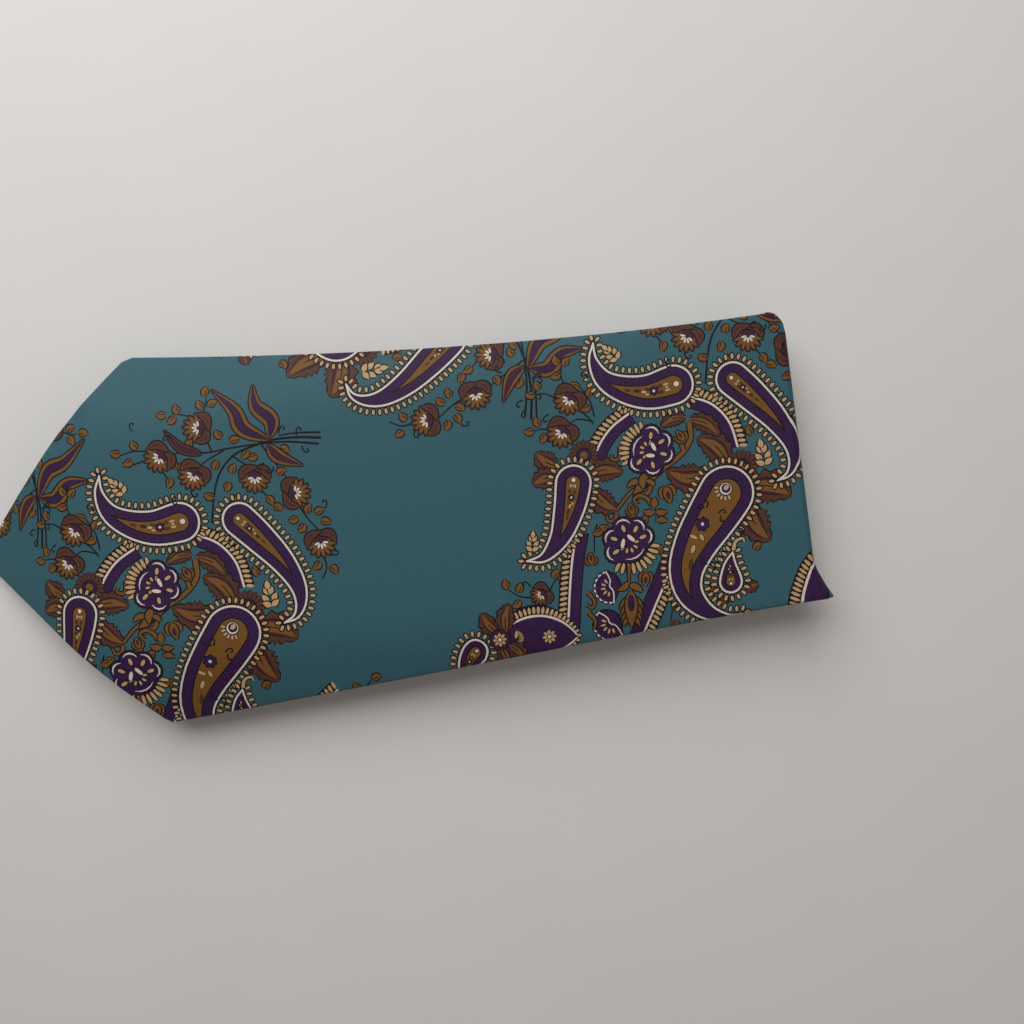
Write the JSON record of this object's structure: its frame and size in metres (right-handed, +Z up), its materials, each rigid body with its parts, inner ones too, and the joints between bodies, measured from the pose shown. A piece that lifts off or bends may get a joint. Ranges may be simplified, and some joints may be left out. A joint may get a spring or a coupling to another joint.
{
  "type": "necktie",
  "caption": "Printed silk necktie with a pointed blade and tail, folded into a flat stack with the blade face up, and able to unfold to its full length.",
  "frame": {"origin": "bottom centre of the folded tie's box", "axes": "+X from the blade's point to the first fold, +Y across the blade, +Z up through the layers"},
  "size_m": [0.2008, 0.089, 0.0131],
  "materials": {
    "printed_silk": "teal silk twill with a paisley print, soft sheen",
    "wool_interlining": "brushed wool, matt",
    "silk_thread": "twisted thread",
    "tipping_lining": "smooth lining, slight sheen",
    "woven_label": "plain woven label, satin",
    "satin_label": "plain white satin ribbon"
  },
  "bodies": {
    "layer_1": {"silk_shell_1": "printed_silk", "interlining_1": "wool_interlining", "slip_stitch_1": "silk_thread", "silk_fold_1": "printed_silk", "blade_tipping": "tipping_lining", "blade_bar_tack": "silk_thread", "maker_label": "woven_label"},
    "layer_2": {"silk_shell_2": "printed_silk", "interlining_2": "wool_interlining", "slip_stitch_2": "silk_thread", "silk_fold_2": "printed_silk", "keeper_loop": "printed_silk"},
    "layer_3": {"silk_shell_3": "printed_silk", "interlining_3": "wool_interlining", "slip_stitch_3": "silk_thread", "silk_fold_3": "printed_silk"},
    "layer_4": {"silk_shell_4": "printed_silk", "interlining_4": "wool_interlining", "slip_stitch_4": "silk_thread", "silk_fold_4": "printed_silk", "blade_join_seam": "printed_silk"},
    "layer_5": {"silk_shell_5": "printed_silk", "interlining_5": "wool_interlining", "slip_stitch_5": "silk_thread", "silk_fold_5": "printed_silk"},
    "layer_6": {"silk_shell_6": "printed_silk", "interlining_6": "wool_interlining", "slip_stitch_6": "silk_thread", "silk_fold_6": "printed_silk", "tail_join_seam": "printed_silk"},
    "layer_7": {"silk_shell_7": "printed_silk", "interlining_7": "wool_interlining", "slip_stitch_7": "silk_thread", "silk_fold_7": "printed_silk"},
    "layer_8": {"silk_shell_8": "printed_silk", "interlining_8": "wool_interlining", "slip_stitch_8": "silk_thread", "tail_tipping": "tipping_lining", "tail_bar_tack": "silk_thread", "care_label": "satin_label", "reserve_thread_loop": "silk_thread"}
  },
  "joints": [
    {"name": "fold_7", "type": "hinge", "parent": "layer_8", "child": "layer_7", "pos_m": [0.0986, 0, 0.0016], "axis": [0, 1, 0], "range_deg": [0, 180], "deforming": ["silk_fold_7"]},
    {"name": "fold_6", "type": "hinge", "parent": "layer_7", "child": "layer_6", "pos_m": [-0.0684, 0, 0.00335], "axis": [0, -1, 0], "range_deg": [0, 180], "deforming": ["silk_fold_6"]},
    {"name": "fold_5", "type": "hinge", "parent": "layer_6", "child": "layer_5", "pos_m": [0.0986, 0, 0.00485], "axis": [0, 1, 0], "range_deg": [0, 180], "deforming": ["silk_fold_5"]},
    {"name": "fold_4", "type": "hinge", "parent": "layer_5", "child": "layer_4", "pos_m": [-0.0684, 0, 0.00635], "axis": [0, -1, 0], "range_deg": [0, 180], "deforming": ["silk_fold_4"]},
    {"name": "fold_3", "type": "hinge", "parent": "layer_4", "child": "layer_3", "pos_m": [0.0986, 0, 0.00785], "axis": [0, 1, 0], "range_deg": [0, 180], "deforming": ["silk_fold_3"]},
    {"name": "fold_2", "type": "hinge", "parent": "layer_3", "child": "layer_2", "pos_m": [-0.0684, 0, 0.00935], "axis": [0, -1, 0], "range_deg": [0, 180], "deforming": ["silk_fold_2"]},
    {"name": "fold_1", "type": "hinge", "parent": "layer_2", "child": "layer_1", "pos_m": [0.0986, 0, 0.0113], "axis": [0, 1, 0], "range_deg": [0, 180], "deforming": ["silk_fold_1"]}
  ],
  "couplings": [
    {"joint": "fold_6", "follows": "fold_7", "ratio": 1},
    {"joint": "fold_5", "follows": "fold_7", "ratio": 1},
    {"joint": "fold_4", "follows": "fold_7", "ratio": 1},
    {"joint": "fold_3", "follows": "fold_7", "ratio": 1},
    {"joint": "fold_2", "follows": "fold_7", "ratio": 1},
    {"joint": "fold_1", "follows": "fold_7", "ratio": 1}
  ]
}
